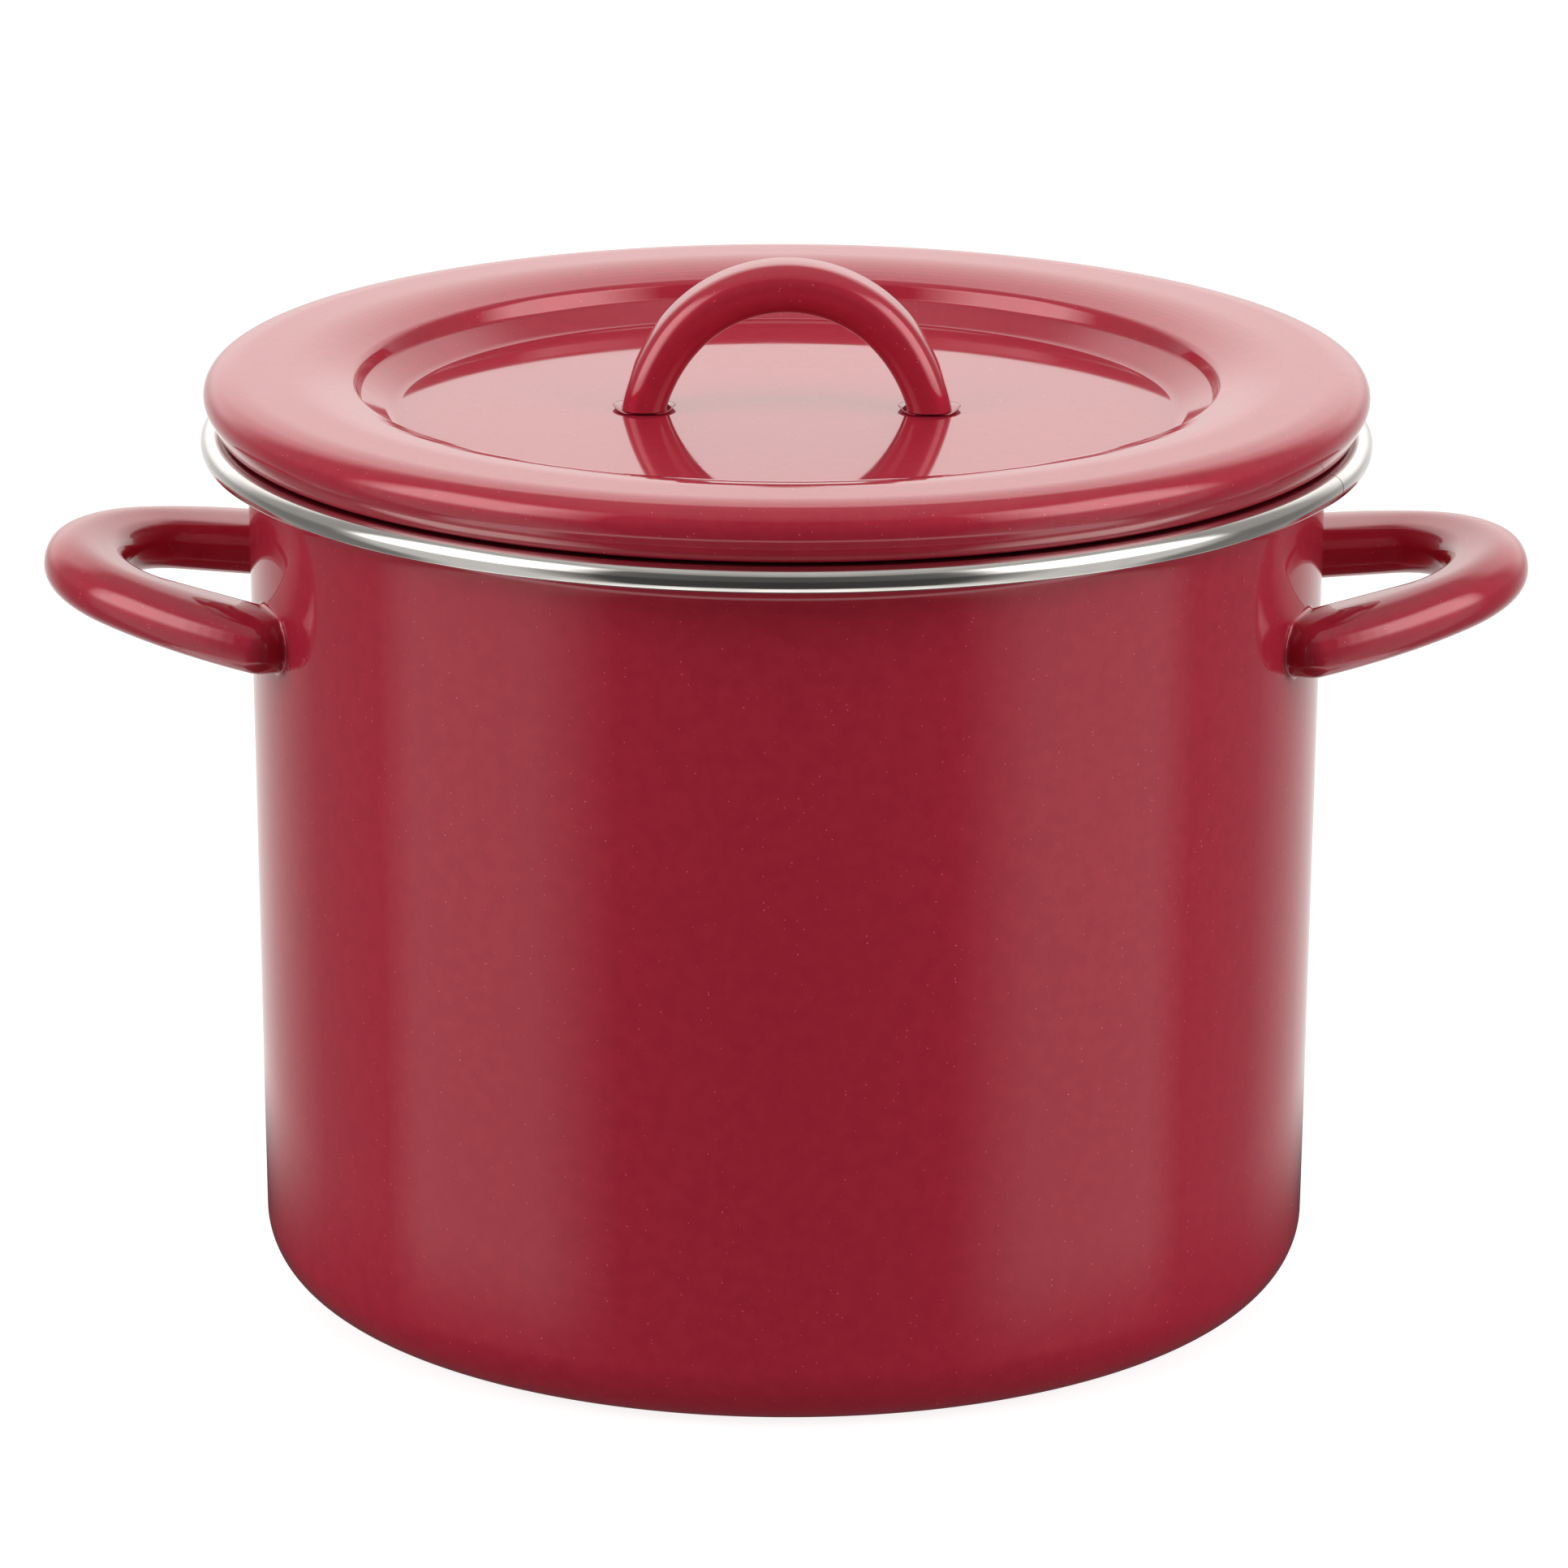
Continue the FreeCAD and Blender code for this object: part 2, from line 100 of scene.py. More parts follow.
# The side handles lie in a plane that rises outwards. Each half has a row for each corner: how far
# out it is, how far from the middle, and its rounding.
TILT = math.radians(9.76)
PLANE = 150.56
HANDLE_DEPTH = 13.2
HANDLE_ROUND = 6.3
HANDLE_SHEET = 1.3
HANDLE_HALF = [
    (111.6, 43.8, None),
    (127.2, 59.4, 7.2),
    (152.6, 51.7, 100.0),
    (185.5, 22.5, 48.0),
    (185.5, 0, None),
]
FINGER_HALF = [
    (112.0, 38.95, None),
    (155.3, 23.25, 15.0),
    (165.3, 11.3, 30.5),
    (165.3, 0, None),
]
HANDLE_CROWN = 13.0
# Each row is a rounded edge of the section: inside (0) or outside (1), below or above, and two angles.
HANDLE_SECTION = [(0, -1, 90, 0), (0, 1, 0, 84), (1, 1, 60, 0), (1, -1, 0, 90)]
HANDLE_STEPS = 130
HANDLE_ARC_STEP = math.radians(2)
COURSE_SAMPLES = 400
SHARE_STEP = 0.01
HALVINGS = 30

# the welds' beads, whose size wavers along them and whose backs lie inside the leg and the wall
BEAD = 1.7
BEAD_WAVER = 0.12
BEAD_WAVER_STEP = 0.9
BEAD_PARTS = 6
BEAD_BACK = 0.4

# the bow on the lid
BOW_OUTER = 39.3
BOW_OUTER_CENTRE = RIM + 6.6
BOW_INNER = 28.5
BOW_INNER_CENTRE = RIM + 5.3
BOW_WIDTH = 17.0
BOW_ROUND = 5.2
BOW_SHEET = 1.2
BOW_SECTION = [(0, -1, 0, 90), (1, -1, 90, 0), (1, 1, 0, 90), (0, 1, 90, 0)]
BOW_STEPS = 120
BOW_SPLAY = 1.3
BOW_SPLAY_HEIGHT = 18.0
DISC = RECESS + STEEL
SOLE = DISC + 0.7

# the plates under the bow's feet, which narrow, thin out and curl up past the leg
FOOT_EAR = 2.2
FOOT_EAR_START = 1.2
FOOT_CURL = 0.6
FOOT_HALF_WIDTH = 7.8
FOOT_ENDS = 0.97
FOOT_SQUARENESS = 7
FOOT_NARROWING = 0.28
FOOT_THINNING = 0.35
FOOT_STEPS = 40
FOOT_SIDES = 24

# the enamel
FLAKE_SHARE = 0.2
GROUND_ROUGHNESS = 0.42
GLASS_IOR = 1.52
ENAMEL_SWELL = 0.00004
BRUSHED_LINES = 6000.0

# The studio light by bearing, from the front (0) to the back (180), at a low and at a high angle.
LOW_LIGHT = [
    (0, 0.05), (36, 0.07), (55, 0.75), (86, 0.75), (97, 0.2), (121, 0.24), (138, 0.55), (155, 0.85),
    (180, 1.0),
]
HIGH_LIGHT = [
    (0, 0.1), (36, 0.14), (55, 4.2), (82, 4.2), (94, 0.35), (125, 0.45), (145, 1.5), (180, 1.5),
]
UNDER_LIGHT = 0.15
FLOOR_LIGHT = 1.5
GAP_LIGHT = 0.5
TOP_LIGHT = 0.65
# the angles above the horizon between which one light gives way to the next
UNDER_TO_FLOOR = (-64.0, -60.0)
FLOOR_TO_LOW = (-55.0, -50.0)
LOW_TO_HIGH = (-4.0, 12.0)
HIGH_TO_GAP = (38.0, 52.0)
GAP_TO_TOP = (54.0, 68.0)
LIGHT_COLOUR = (1.0, 0.97, 0.94, 1)
BRIGHTEST = 4.5

# the floor, and the dim disc round the pot's base that only reflections see, a painted contact shadow
# of the pot on the floor
FLOOR_HALF = 6.0
FLOOR_COLOUR = 0.35
FLOOR_GLOW = 0.85
SHADE_NEAR = 0.14
SHADE_FAR = 0.23
PAINTED_SHADE_LEVEL = 0.05
SHADE_SIDES = 64

# the camera
LENS = 177.0
SENSOR = 36.0
SHIFT_X = -0.0009
CLIP_START = 0.05
CAMERA_PITCH = math.radians(73.53)
CAMERA_ROLL = 0.0036
CAMERA_PLACE = (0, -1.8407, 0.6673)


def wall_radius(height):
    """The outer face of the pot's wall."""
    return FOOT_RADIUS + STEEL + (MOUTH_RADIUS - FOOT_RADIUS) * (height - STEEL) / (FLARE - STEEL)


def left_of(direction):
    return Vector((-direction.y, direction.x))


def rounded(corners, step=ARC_STEP):
    """Points along a line of corners, each with the vector to its left that a parallel line needs."""
    places = [Vector((first, second)) for first, second, _ in corners]
    line = []
    for number, (place, (_, _, radius)) in enumerate(zip(places, corners)):
        arrive = (place - places[number - 1]).normalized() if number > 0 else None
        leave = (places[number + 1] - place).normalized() if number + 1 < len(places) else None
        if radius is None:
            side = left_of(arrive or leave) + left_of(leave or arrive)
            line.append((place, side / (side.length_squared / 2)))
            continue
        turn = math.atan2(arrive.cross(leave), arrive.dot(leave))
        sign = math.copysign(1, turn)
        start = place - arrive * (radius * math.tan(abs(turn) / 2))
        centre = start + left_of(arrive) * (radius * sign)
        steps = max(3, math.ceil(abs(turn) / step))
        for index in range(steps + 1):
            side = left_of(arrive)
            side.rotate(Matrix.Rotation(turn * index / steps, 2))
            line.append((centre - side * (radius * sign), side))
    return line


def guarded(line):
    """The same line with points just inside the ends of its straight runs, to keep the shading true."""
    result = [line[0]]
    for (start, _), (end, side) in zip(line, line[1:]):
        run = end - start
        if run.length > 8 * GUARD:
            ahead = run.normalized()
            flat = left_of(ahead)
            result.append((start + ahead * GUARD, flat))
            if run.length > LONG_RUN:
                result.append(((start + end) / 2, flat))
            result.append((end - ahead * GUARD, flat))
        result.append((end, side))
    return result


def sheet(line, near, far):
    """A closed section between two lines parallel to a line."""
    lower = [point + side * near for point, side in line]
    upper = [point + side * far for point, side in line]
    return lower + upper[::-1]


def new_object(name, vertices, faces):
    """A smooth mesh with its faces turned outwards, from vertices in millimetres."""
    mesh = bpy.data.meshes.new(name)
    mesh.from_pydata([[value * MM for value in vertex] for vertex in vertices], [], faces)
    shell = bmesh.new()
    shell.from_mesh(mesh)
    bmesh.ops.remove_doubles(shell, verts=shell.verts, dist=1e-7)
    bmesh.ops.recalc_face_normals(shell, faces=shell.faces)
    shell.to_mesh(mesh)
    shell.free()
    mesh.shade_smooth()
    mesh.set_sharp_from_angle(angle=SHARP)
    piece = bpy.data.objects.new(name, mesh)
    bpy.context.scene.collection.objects.link(piece)
    return piece


def sheet_end(count):
    """The faces that close the end of a sheet, whose second half runs back along its first."""
    return [(index, index + 1, count - 2 - index, count - 1 - index) for index in range(count // 2 - 1)]


def turned(name, section, start=0.0, sweep=360.0):
    """A closed section turned about the pot's axis, all the way or with a gap."""
    whole = sweep == 360.0
    rings = TURN_STEPS if whole else TURN_STEPS + 1
    vertices = []
    for ring in range(rings):
        angle = math.radians(start + sweep * ring / TURN_STEPS)
        for radius, height in section:
            vertices.append((radius * math.cos(angle), radius * math.sin(angle), height))
    count = len(section)
    faces = []
    for ring in range(TURN_STEPS):
        here = ring * count
        there = (ring + 1) % rings * count
        for index in range(count):
            after = (index + 1) % count
            if section[index][0] or section[after][0]:
                faces.append((here + index, here + after, there + after, there + index))
    if not whole:
        for ring in (0, rings - 1):
            for corners in sheet_end(count):
                faces.append([ring * count + corner for corner in corners])
    return new_object(name, vertices, faces)


def ringed(name, rings, end):
    """Rings of points joined one after another, with the same end faces at the first and the last."""
    count = len(rings[0])
    vertices = [point for ring in rings for point in ring]
    faces = []
    for ring in range(len(rings) - 1):
        here = ring * count
        for index in range(count):
            after = (index + 1) % count
            faces.append((here + index, here + after, here + count + after, here + count + index))
    for ring in (0, len(rings) - 1):
        for corners in end:
            faces.append([ring * count + corner for corner in corners])
    return new_object(name, vertices, faces)


class Course:
    """A line with its lengths, so that a point and its left-hand side can be found along it."""

    def __init__(self, line):
        self.line = line
        self.lengths = [0.0]
        for (start, _), (end, _) in zip(line, line[1:]):
            self.lengths.append(self.lengths[-1] + (end - start).length)
        self.length = self.lengths[-1]

    def at(self, length):
        for index, reached in enumerate(self.lengths[1:]):
            if length <= reached:
                break
        part = (length - self.lengths[index]) / (self.lengths[index + 1] - self.lengths[index])
        (start, side), (end, next_side) = self.line[index], self.line[index + 1]
        return start.lerp(end, part), side.lerp(next_side, part).normalized()

    def nearest(self, point):
        """The length at which the course passes nearest to a point."""
        samples = [self.length * index / COURSE_SAMPLES for index in range(COURSE_SAMPLES + 1)]
        return min(samples, key=lambda length: (self.at(length)[0] - point).length)


def arc_places(corner, half_depth, rounding, skin, steps=10):
    """One rounded edge of a section, as (share across, inset inside, inset outside, height)."""
    which, side, first, last = corner
    places = []
    for index in range(steps + 1):
        angle = math.radians(first + (last - first) * index / steps)
        inset = rounding - skin * math.cos(angle)
        places.append((which, inset, inset, side * (half_depth - rounding + skin * math.sin(angle))))
    return places


def crown_places(start, end, start_slope, end_slope, width, steps=8):
    """The domed face between two rounded edges."""
    places = []
    _, inset_in, _, low = start
    _, _, inset_out, high = end
    near = low + width / 3 * math.tan(math.radians(start_slope))
    far = high + width / 3 * math.tan(math.radians(end_slope))
    for index in range(1, steps):
        share = index / steps
        rest = 1 - share
        height = (low * rest ** 3 + 3 * near * rest ** 2 * share + 3 * far * rest * share ** 2
                  + high * share ** 3)
        places.append((share, inset_in, inset_out, height))
    return places


def channel_section(corners, half_depth, rounding, gauge, crown_width=None):
    """The closed section of a pressed channel: its outer skin, then its inner skin the other way."""
    skins = []
    for skin in (rounding, rounding - gauge):
        arcs = [arc_places(corner, half_depth, rounding, skin) for corner in corners]
        if crown_width:
            slopes = (90 - corners[1][3], 90 - corners[2][2])
            arcs.insert(2, crown_places(arcs[1][-1], arcs[2][0], *slopes, crown_width))
        skins.append([place for arc in arcs for place in arc])
    return skins[0] + skins[1][::-1]


class SideHandle:
    """The loop in its own plane: outer and inner courses of one half, and the section they carry."""

    def __init__(self):
        self.outer = Course(rounded(HANDLE_HALF, HANDLE_ARC_STEP))
        self.inner = Course(rounded(FINGER_HALF, HANDLE_ARC_STEP))
        pairs = [(0.0, 0.0)]
        for first, second, _ in HANDLE_HALF[1:-1]:
            along = self.outer.nearest(Vector((first, second)))
            pairs.append((along, self.inner.nearest(self.outer.at(along)[0])))
        pairs.append((self.outer.length, self.inner.length))
        self.pairs = pairs
        self.section = channel_section(HANDLE_SECTION, HANDLE_DEPTH / 2, HANDLE_ROUND, HANDLE_SHEET,
                                       HANDLE_CROWN)
        self.starts = [self.leaves_wall(place) for place in self.section]

    def inner_length(self, along):
        for (start, inner_start), (end, inner_end) in zip(self.pairs, self.pairs[1:]):
            if along <= end:
                return inner_start + (inner_end - inner_start) * (along - start) / (end - start)
        return self.inner.length

    def point(self, place, share):
        """A point of the section's place, from the root (0) to the tip (1)."""
        across, inset_in, inset_out, height = place
        along = share * self.outer.length
        outside, side = self.outer.at(along)
        outside = outside - side * inset_out
        inside, side = self.inner.at(self.inner_length(along))
        inside = inside + side * inset_in
        spot = inside.lerp(outside, across)
        return Vector((spot.x * math.cos(TILT) - height * math.sin(TILT), spot.y,
                       PLANE + spot.x * math.sin(TILT) + height * math.cos(TILT)))

    def clearance(self, point):
        return math.hypot(point.x, point.y) - wall_radius(point.z)

    def leaves_wall(self, place):
        """The share of the half at which this line of the section leaves the wall."""
        share = 1.0
        while self.clearance(self.point(place, share)) > 0:
            share -= SHARE_STEP
        low, high = share, share + SHARE_STEP
        for _ in range(HALVINGS):
            middle = (low + high) / 2
            if self.clearance(self.point(place, middle)) > 0:
                high = middle
            else:
                low = middle
        return low

    def ring(self, step):
        """All the section's places at one step from root to tip."""
        points = []
        for place, start in zip(self.section, self.starts):
            points.append(self.point(place, start + (1 - start) * step / HANDLE_STEPS))
        return points


def turned_point(point, flip_y, flip_x):
    return Vector((-point.x if flip_x else point.x, -point.y if flip_y else point.y, point.z))


def side_handle(handle, name, left):
    """The whole loop, front and rear halves, at the right or at the left."""
    rings = []
    for step in range(HANDLE_STEPS + 1):
        rings.append([turned_point(p, True, left) for p in handle.ring(step)])
    for step in range(HANDLE_STEPS - 1, -1, -1):
        rings.append([turned_point(p, False, left) for p in handle.ring(step)])
    return ringed(name, rings, sheet_end(len(rings[0])))


def bead(handle, name, left, front):
    """The fillet of weld and enamel between one leg and the wall."""
    outline = handle.section[:len(handle.section) // 2]
    starts = handle.starts[:len(outline)]
    contact = [handle.point(place, start) for place, start in zip(outline, starts)]
    middle = sum(contact, Vector()) / len(contact)
    rings = []
    for index, (place, start) in enumerate(zip(outline, starts)):
        spot = contact[index]
        before = contact[max(index - 1, 0)]
        after = contact[min(index + 1, len(contact) - 1)]
        along = (after - before).normalized()
        out = Vector((spot.x, spot.y, 0)).normalized()
        over_wall = out.cross(along).normalized()
        if over_wall.dot(spot - middle) < 0:
            over_wall = -over_wall
        up_leg = (handle.point(place, start + 2 * SHARE_STEP) - spot).normalized()
        size = BEAD * (1 + BEAD_WAVER * math.sin(index * BEAD_WAVER_STEP))
        top = spot + up_leg * size
        foot = spot + over_wall * size
        ring = []
        for part in range(BEAD_PARTS + 1):
            share = part / BEAD_PARTS
            ring.append(top * (1 - share) ** 2 + spot * (2 * share * (1 - share)) + foot * share ** 2)
        ring.append(foot - out * BEAD_BACK)
        ring.append(spot - out * BEAD_BACK - over_wall * BEAD_BACK)
        ring.append(top - over_wall * BEAD_BACK)
        rings.append([turned_point(p, front, left) for p in ring])
    return ringed(name, rings, [range(len(rings[0]))])


def bow_point(place, share):
    """A point of the bow's section: share 0 at the right sole, 1 at the left one."""
    across, inset_in, inset_out, width = place
    reach = (BOW_INNER + inset_in) * (1 - across) + (BOW_OUTER - inset_out) * across
    centre = BOW_INNER_CENTRE * (1 - across) + BOW_OUTER_CENTRE * across
    sole = math.asin((SOLE - centre) / reach)
    angle = sole + (math.pi - 2 * sole) * share
    height = centre + reach * math.sin(angle)
    splay = BOW_SPLAY * max(0.0, 1 - (height - SOLE) / BOW_SPLAY_HEIGHT) ** 2
    return Vector((reach * math.cos(angle) + math.copysign(splay, 0.5 - share), width, height))


def bow(name):
    section = channel_section(BOW_SECTION, BOW_WIDTH / 2, BOW_ROUND, BOW_SHEET)
    rings = []
    for step in range(BOW_STEPS + 1):
        rings.append([bow_point(place, step / BOW_STEPS) for place in section])
    return ringed(name, rings, sheet_end(len(rings[0])))


def foot(name, direction):
    """The weld plate under one leg of the bow, with an ear curled up at each side of the leg."""
    inner = bow_point((0, 0, 0, 0), 0).x
    outer = bow_point((1, 0, 0, 0), 0).x
    middle = (inner + outer) / 2
    leg = (outer - inner) / 2
    reach = leg + FOOT_EAR
    half_sheet = (SOLE - DISC) / 2
    rings = []
    for step in range(FOOT_STEPS + 1):
        along = -math.cos(math.pi * step / FOOT_STEPS)
        past = max(0.0, abs(along) * reach - leg + FOOT_EAR_START) / (FOOT_EAR + FOOT_EAR_START)
        outline = 1 - FOOT_ENDS * abs(along) ** FOOT_SQUARENESS
        width = FOOT_HALF_WIDTH * outline * (1 - FOOT_NARROWING * past)
        lift = DISC + half_sheet + FOOT_CURL * past ** 2
        thick = half_sheet * (1 - FOOT_THINNING * past)
        ring = []
        for part in range(FOOT_SIDES):
            angle = 2 * math.pi * part / FOOT_SIDES
            ring.append(Vector((direction * (middle + along * reach), width * math.cos(angle),
                                lift + thick * math.sin(angle))))
        rings.append(ring)
    return ringed(name, rings, [range(FOOT_SIDES)])


def grey(level):
    return (level, level, level, 1)


class Nodes:
    """A short way to write a node tree."""

    def __init__(self, tree):
        self.tree = tree
        tree.nodes.clear()

    def add(self, kind, inputs=None, **settings):
        node = self.tree.nodes.new(kind)
        for name, setting in settings.items():
            setattr(node, name, setting)
        for name, source in (inputs or {}).items():
            self.feed(node.inputs[name], source)
        return node

    def feed(self, socket, source):
        if isinstance(source, bpy.types.NodeSocket):
            self.tree.links.new(source, socket)
        else:
            socket.default_value = source

    def math(self, operation, first, second=0.0, third=0.0, clamp=False):
        node = self.add("ShaderNodeMath", {0: first, 1: second}, operation=operation, use_clamp=clamp)
        if operation == "MULTIPLY_ADD":
            self.feed(node.inputs[2], third)
        return node.outputs[0]

    def ease(self, source, low, high, from_value=0.0, to_value=1.0):
        """A value that turns smoothly from one to another as the source goes from low to high."""
        node = self.add("ShaderNodeMapRange", {"Value": source, "From Min": low, "From Max": high,
                                               "To Min": from_value, "To Max": to_value},
                        interpolation_type="SMOOTHSTEP")
        return node.outputs["Result"]

    def mix(self, share, first, second, blend="MIX"):
        node = self.add("ShaderNodeMix", data_type="RGBA", blend_type=blend)
        self.feed(node.inputs[0], share)
        self.feed(node.inputs[6], first)
        self.feed(node.inputs[7], second)
        return node.outputs[2]

    def ramp(self, source, stops):
        node = self.add("ShaderNodeValToRGB", {"Fac": source})
        node.color_ramp.interpolation = "LINEAR"
        elements = node.color_ramp.elements
        while len(elements) < len(stops):
            elements.new(0.5)
        for element, (place, level) in zip(elements, sorted(stops)):
            element.position = place
            element.color = grey(level)
        return node.outputs["Color"]

    def noise(self, vector, scale, detail=2.0, roughness=0.5):
        node = self.add("ShaderNodeTexNoise", {"Vector": vector, "Scale": scale, "Detail": detail,
                                               "Roughness": roughness})
        return node.outputs["Fac"]


def flecks(nodes, vector, scale, size, share):
    """Round specks inside the enamel: how strongly each point is one."""
    cells = nodes.add("ShaderNodeTexVoronoi", {"Vector": vector, "Scale": scale})
    parts = nodes.add("ShaderNodeSeparateColor", {"Color": cells.outputs["Color"]})
    reach = nodes.math("MULTIPLY_ADD", parts.outputs[0], size * 0.7, size * 0.55)
    inside = nodes.math("SUBTRACT", reach, cells.outputs["Distance"])
    spot = nodes.ease(inside, 0.0, size * 0.6)
    chosen = nodes.ease(parts.outputs[1], 1 - share, 1 - share * 0.3)
    return nodes.math("MULTIPLY", spot, chosen, clamp=True)


def material(name):
    """A new material with its nodes, the place on the object and the output."""
    made = bpy.data.materials.new(name)
    made.use_nodes = True
    nodes = Nodes(made.node_tree)
    place = nodes.add("ShaderNodeTexCoord").outputs["Object"]
    output = nodes.add("ShaderNodeOutputMaterial")
    return made, nodes, place, output


def finish_material(nodes, output, inputs):
    surface = nodes.add("ShaderNodeBsdfPrincipled", inputs)
    nodes.tree.links.new(surface.outputs["BSDF"], output.inputs["Surface"])


def enamel_waves(nodes, place, slow, fine):
    """The uneven surface of fired enamel, as heights in metres."""
    broad = nodes.math("MULTIPLY", nodes.noise(place, scale=22.0, detail=1.0), slow)
    peel = nodes.math("MULTIPLY", nodes.noise(place, scale=190.0), fine)
    height = nodes.math("ADD", broad, peel)
    bump = nodes.add("ShaderNodeBump", {"Height": height, "Strength": 1.0, "Distance": 1.0})
    return bump.outputs["Normal"]


def red_enamel():
    """Clear gloss over red enamel with fine flakes, which give it a soft red sheen."""
    made, nodes, place, output = material("red_enamel")
    mottle = nodes.ease(nodes.noise(place, scale=260.0, detail=3.0, roughness=0.65), 0.3, 0.7)
    drift = nodes.ease(nodes.noise(place, scale=14.0), 0.35, 0.65)
    ground = nodes.mix(mottle, (0.405, 0.0195, 0.043, 1), (0.445, 0.0240, 0.048, 1))
    ground = nodes.mix(nodes.math("MULTIPLY", drift, 0.25), ground, (0.41, 0.020, 0.044, 1))
    large = flecks(nodes, place, scale=625.0, size=0.125, share=0.75)
    small = flecks(nodes, place, scale=1150.0, size=0.13, share=0.7)
    colour = nodes.mix(nodes.math("MULTIPLY", small, 0.35), ground, (0.72, 0.075, 0.13, 1))
    colour = nodes.mix(nodes.math("MULTIPLY", large, 0.8), colour, (0.86, 0.155, 0.235, 1))
    waves = enamel_waves(nodes, place, ENAMEL_SWELL, fine=0.0000018)
    finish_material(nodes, output, {
        "Base Color": colour,
        "Metallic": FLAKE_SHARE,
        "Roughness": GROUND_ROUGHNESS,
        "Specular IOR Level": 0.0,
        "Normal": waves,
        "Coat Weight": 1.0,
        "Coat Roughness": nodes.ease(nodes.noise(place, scale=55.0), 0.3, 0.7, 0.035, 0.06),
        "Coat IOR": GLASS_IOR,
        "Coat Normal": waves,
    })
    return made


def dark_enamel():
    """Near-black enamel with pale specks, for the inside."""
    made, nodes, place, output = material("dark_enamel")
    mottle = nodes.ease(nodes.noise(place, scale=180.0, detail=3.0, roughness=0.6), 0.3, 0.7)
    ground = nodes.mix(mottle, (0.0075, 0.0075, 0.009, 1), (0.016, 0.016, 0.019, 1))
    specks = flecks(nodes, place, scale=540.0, size=0.11, share=0.7)
    colour = nodes.mix(nodes.math("MULTIPLY", specks, 0.7), ground, (0.42, 0.43, 0.46, 1))
    finish_material(nodes, output, {
        "Base Color": colour,
        "Roughness": nodes.ease(nodes.noise(place, scale=60.0), 0.3, 0.7, 0.06, 0.12),
        "IOR": GLASS_IOR,
        "Normal": enamel_waves(nodes, place, ENAMEL_SWELL, fine=0.000002),
    })
    return made


def stainless():
    """Polished steel with faint lines that run round it."""
    made, nodes, place, output = material("stainless")
    parts = nodes.add("ShaderNodeSeparateXYZ", {"Vector": place})
    squares = [nodes.math("MULTIPLY", parts.outputs[axis], parts.outputs[axis]) for axis in (0, 1)]
    radius = nodes.math("SQRT", nodes.math("ADD", *squares))
    bearing = nodes.math("ARCTAN2", parts.outputs[1], parts.outputs[0])
    lines = nodes.add("ShaderNodeCombineXYZ", {
        0: nodes.math("MULTIPLY", radius, BRUSHED_LINES),
        1: nodes.math("MULTIPLY", parts.outputs[2], BRUSHED_LINES),
        2: nodes.math("MULTIPLY", bearing, 3.0),
    }).outputs[0]
    grain = nodes.noise(lines, scale=1.0, detail=3.0, roughness=0.6)
    smears = nodes.noise(place, scale=38.0, detail=3.0, roughness=0.6)
    bump = nodes.add("ShaderNodeBump", {"Height": nodes.math("MULTIPLY", grain, 0.0000012),
                                        "Strength": 1.0, "Distance": 1.0})
    finish_material(nodes, output, {
        "Base Color": nodes.mix(nodes.ease(smears, 0.35, 0.7),
                                (0.70, 0.69, 0.67, 1), (0.63, 0.62, 0.60, 1)),
        "Metallic": 1.0,
        "Roughness": nodes.math("ADD", nodes.ease(smears, 0.3, 0.7, 0.07, 0.13),
                                nodes.math("MULTIPLY", grain, 0.05)),
        "Normal": bump.outputs["Normal"],
    })
    return made


def place_piece(piece, body, slot, surface, *nodes):
    """Puts a piece with its material on its body and hides the CAD nodes whose place it takes; the slot
    is not used.
    """
    piece.data.materials.append(surface)
    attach(piece, body)
    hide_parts(*nodes)


def build_pieces():
    red, dark, steel = red_enamel(), dark_enamel(), stainless()
    pot_line = guarded(rounded(POT_LINE))
    lid_line = guarded(rounded(LID_LINE))
    band_line = guarded(rounded(BAND_LINE))

    place_piece(turned("pot_shell_look", sheet(pot_line, -STEEL, 0)),
                "pot", "red_enamel", red, "pot_shell")
    place_piece(turned("pot_lining_look", sheet(pot_line, 0, LINING)),
                "pot", "dark_enamel", dark, "pot_lining")
    band = turned("rim_band_look", sheet(band_line, -BAND_STEEL, 0), BAND_SEAM + BAND_GAP / 2,
                  360 - BAND_GAP)
    place_piece(band, "pot", "stainless", steel, "rim_band")
    place_piece(turned("lid_shell_look", sheet(lid_line, 0, STEEL)),
                "lid", "red_enamel", red, "lid_shell")
    place_piece(turned("lid_lining_look", sheet(lid_line, -LINING, 0)),
                "lid", "dark_enamel", dark, "lid_lining")

    handle = SideHandle()
    for side, left in (("right", False), ("left", True)):
        node = f"{side}_handle"
        place_piece(side_handle(handle, node + "_look", left), "pot", "red_enamel", red, node)
        for end, front in (("front", True), ("rear", False)):
            weld = f"{node}_{end}_weld"
            place_piece(bead(handle, weld + "_look", left, front), "pot", "red_enamel", red, weld)

    place_piece(bow("lid_handle_look"), "lid", "red_enamel", red, "lid_handle")
    for side, direction in (("left", -1), ("right", 1)):
        node = f"lid_handle_{side}_foot"
        place_piece(foot(node + "_look", direction), "lid", "red_enamel", red, node)


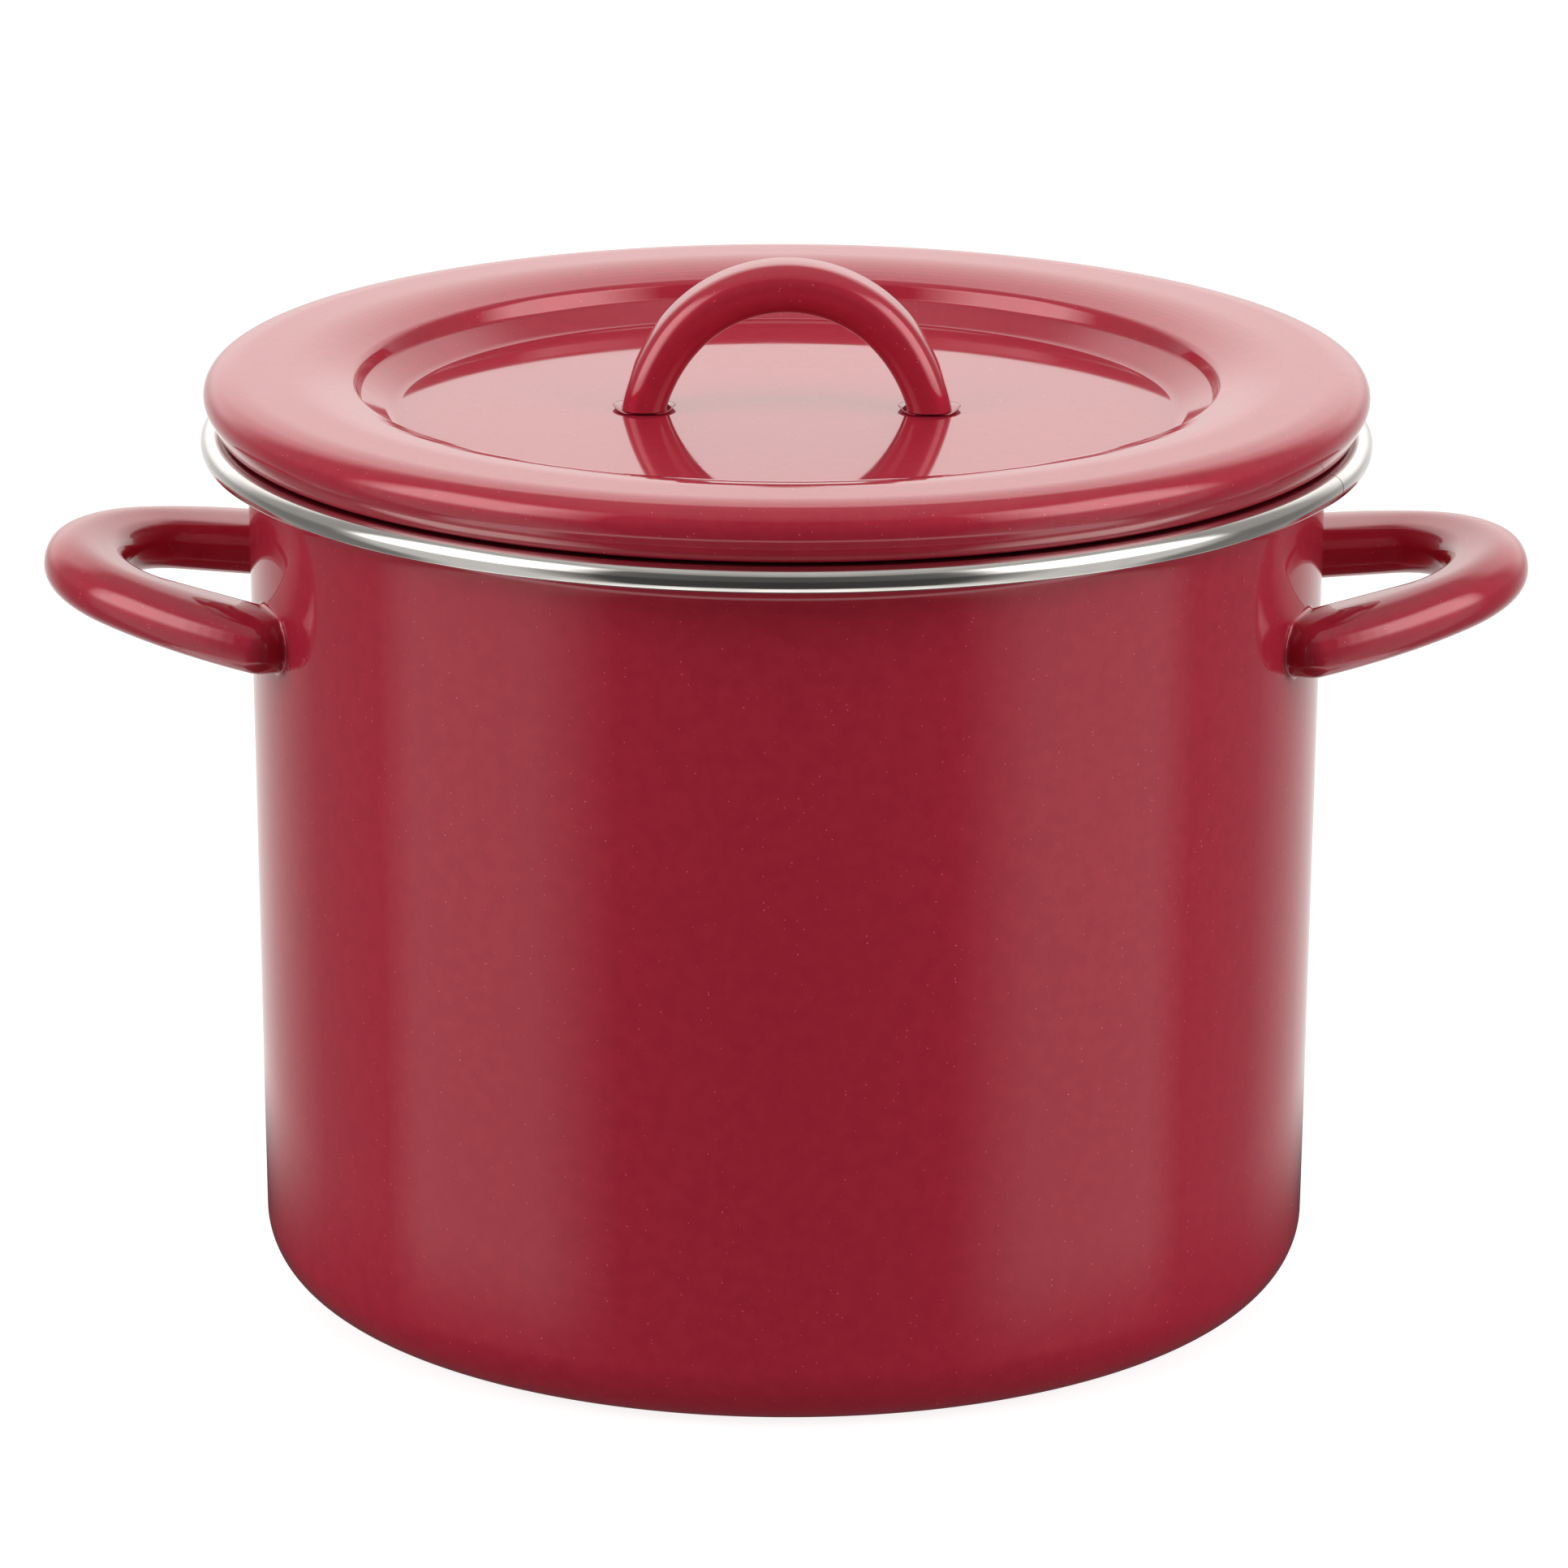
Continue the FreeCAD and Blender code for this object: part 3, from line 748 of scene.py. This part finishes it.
def build_world():
    """Soft studio light that depends on direction only."""
    world = bpy.data.worlds.new("studio")
    bpy.context.scene.world = world
    world.use_nodes = True
    nodes = Nodes(world.node_tree)
    direction = nodes.add("ShaderNodeTexCoord").outputs["Generated"]
    way = nodes.add("ShaderNodeSeparateXYZ", {"Vector": direction})
    across = nodes.math("ABSOLUTE", way.outputs[0])
    ahead = nodes.math("MULTIPLY", way.outputs[1], -1.0)
    bearing = nodes.math("DIVIDE", nodes.math("ARCTAN2", across, ahead), math.pi)
    rise = nodes.math("MULTIPLY", nodes.math("ARCSINE", way.outputs[2]), 180 / math.pi)
    low_band, high_band = [
        nodes.ramp(bearing, [(angle / 180, level / BRIGHTEST) for angle, level in stops])
        for stops in (LOW_LIGHT, HIGH_LIGHT)
    ]
    light = grey(UNDER_LIGHT / BRIGHTEST)
    for change, next_light in (
        (UNDER_TO_FLOOR, grey(FLOOR_LIGHT / BRIGHTEST)),
        (FLOOR_TO_LOW, low_band),
        (LOW_TO_HIGH, high_band),
        (HIGH_TO_GAP, grey(GAP_LIGHT / BRIGHTEST)),
        (GAP_TO_TOP, grey(TOP_LIGHT / BRIGHTEST)),
    ):
        light = nodes.mix(nodes.ease(rise, *change), light, next_light)
    light = nodes.mix(1.0, light, LIGHT_COLOUR, "MULTIPLY")
    background = nodes.add("ShaderNodeBackground", {"Color": light, "Strength": BRIGHTEST})
    output = nodes.add("ShaderNodeOutputWorld")
    world.node_tree.links.new(background.outputs[0], output.inputs["Surface"])


def build_stage():
    """A plain pale floor that isn't part of the object."""
    corners = [(x * FLOOR_HALF, y * FLOOR_HALF, 0) for x, y in ((-1, -1), (1, -1), (1, 1), (-1, 1))]
    mesh = bpy.data.meshes.new("floor")
    mesh.from_pydata(corners, [], [range(4)])
    floor = bpy.data.objects.new("floor", mesh)
    bpy.context.scene.collection.objects.link(floor)
    made, nodes, _, output = material("floor")
    diffuse = nodes.add("ShaderNodeBsdfDiffuse", {"Color": grey(FLOOR_COLOUR)})
    glow = nodes.add("ShaderNodeEmission", {"Strength": FLOOR_GLOW})
    both = nodes.add("ShaderNodeAddShader", {0: diffuse.outputs[0], 1: glow.outputs[0]})
    made.node_tree.links.new(both.outputs[0], output.inputs["Surface"])
    floor.data.materials.append(made)
    floor.visible_glossy = False
    floor.visible_diffuse = False
    floor.visible_shadow = False


def build_painted_contact_shade():
    """A painted shadow: a dim disc that stands in for the shaded floor close to the pot, which only
    reflections see.
    """
    corners = []
    for step in range(SHADE_SIDES):
        angle = 2 * math.pi * step / SHADE_SIDES
        corners.append((SHADE_FAR * math.cos(angle), SHADE_FAR * math.sin(angle), 0))
    mesh = bpy.data.meshes.new("contact_shade")
    mesh.from_pydata(corners, [], [range(SHADE_SIDES)])
    shade = bpy.data.objects.new("contact_shade", mesh)
    bpy.context.scene.collection.objects.link(shade)
    made, nodes, place, output = material("contact_shade")
    radius = nodes.add("ShaderNodeVectorMath", {0: place}, operation="LENGTH").outputs["Value"]
    # painted shadow: a dark glow near the pot that fades to clear between SHADE_NEAR and SHADE_FAR
    glow = nodes.add("ShaderNodeEmission", {"Color": grey(PAINTED_SHADE_LEVEL)})
    clear = nodes.add("ShaderNodeBsdfTransparent")
    fade = nodes.add("ShaderNodeMixShader", {0: nodes.ease(radius, SHADE_NEAR, SHADE_FAR),
                                             1: glow.outputs[0], 2: clear.outputs[0]})
    made.node_tree.links.new(fade.outputs[0], output.inputs["Surface"])
    shade.data.materials.append(made)
    shade.visible_camera = False
    shade.visible_diffuse = False
    shade.visible_shadow = False


def build_camera():
    camera = bpy.data.objects.new("camera", bpy.data.cameras.new("camera"))
    camera.data.lens = LENS
    camera.data.sensor_width = SENSOR
    camera.data.shift_x = SHIFT_X
    camera.data.clip_start = CLIP_START
    turn = Euler((CAMERA_PITCH, 0, 0)).to_matrix() @ Matrix.Rotation(CAMERA_ROLL, 3, "Z")
    camera.rotation_euler = turn.to_euler()
    camera.location = CAMERA_PLACE
    bpy.context.scene.collection.objects.link(camera)
    bpy.context.scene.camera = camera


def main():
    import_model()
    build_pieces()
    build_world()
    build_stage()
    build_painted_contact_shade()
    build_camera()
    bpy.context.scene.view_settings.view_transform = "Standard"


main()
